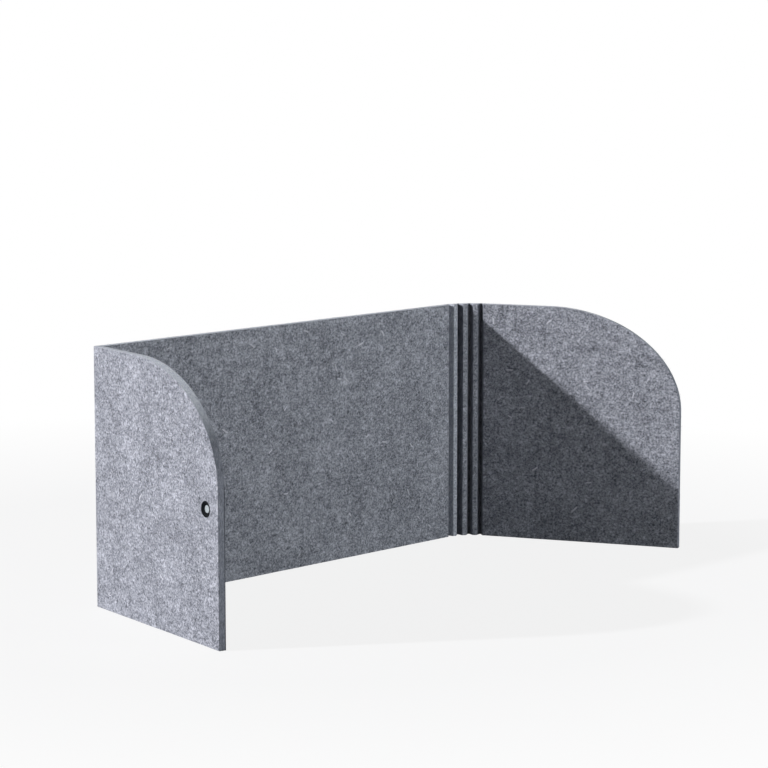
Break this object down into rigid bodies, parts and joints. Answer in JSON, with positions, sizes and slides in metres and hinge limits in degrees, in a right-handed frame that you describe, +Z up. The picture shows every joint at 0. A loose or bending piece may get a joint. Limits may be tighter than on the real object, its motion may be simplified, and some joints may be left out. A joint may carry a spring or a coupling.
{
  "type": "desk divider screen",
  "caption": "Free-standing folding desk screen of thick pressed felt with two rounded wings, grooved living hinges and inset linking magnets.",
  "frame": {"origin": "middle of the back panel's bottom face, on the surface that the screen stands on", "axes": "+X along the back panel to the right as the user sits, +Y away from the user, +Z up"},
  "size_m": [1.0473, 0.3552, 0.4],
  "materials": {
    "felt": "matte pressed felt, mottled blue-grey",
    "cup_plastic": "black",
    "magnet_nickel": "nickel plated"
  },
  "bodies": {
    "back": {"back_panel": "felt"},
    "left": {"left_wing": "felt", "left_magnet_cup": "cup_plastic", "left_magnet": "magnet_nickel"},
    "rib_1": {"hinge_rib_1": "felt"},
    "rib_2": {"hinge_rib_2": "felt"},
    "rib_3": {"hinge_rib_3": "felt"},
    "right": {"right_wing": "felt", "right_magnet_cup": "cup_plastic", "right_magnet": "magnet_nickel"}
  },
  "joints": [
    {"name": "left_fold", "type": "hinge", "parent": "back", "child": "left", "pos_m": [-0.39, 0.006, 0.2], "axis": [0, 0, 1], "range_deg": [-79, 10]},
    {"name": "right_fold_1", "type": "hinge", "parent": "back", "child": "rib_1", "pos_m": [0.39, 0.006, 0.2], "axis": [0, 0, -1], "range_deg": [-16.25, 28.75]},
    {"name": "right_fold_2", "type": "hinge", "parent": "rib_1", "child": "rib_2", "pos_m": [0.41016, 0.00012, 0.2], "axis": [0, 0, -1], "range_deg": [-16.25, 28.75]},
    {"name": "right_fold_3", "type": "hinge", "parent": "rib_2", "child": "rib_3", "pos_m": [0.42787, -0.01116, 0.2], "axis": [0, 0, -1], "range_deg": [-16.25, 28.75]},
    {"name": "right_fold_4", "type": "hinge", "parent": "rib_3", "child": "right", "pos_m": [0.44172, -0.02695, 0.2], "axis": [0, 0, -1], "range_deg": [-16.25, 28.75]}
  ]
}
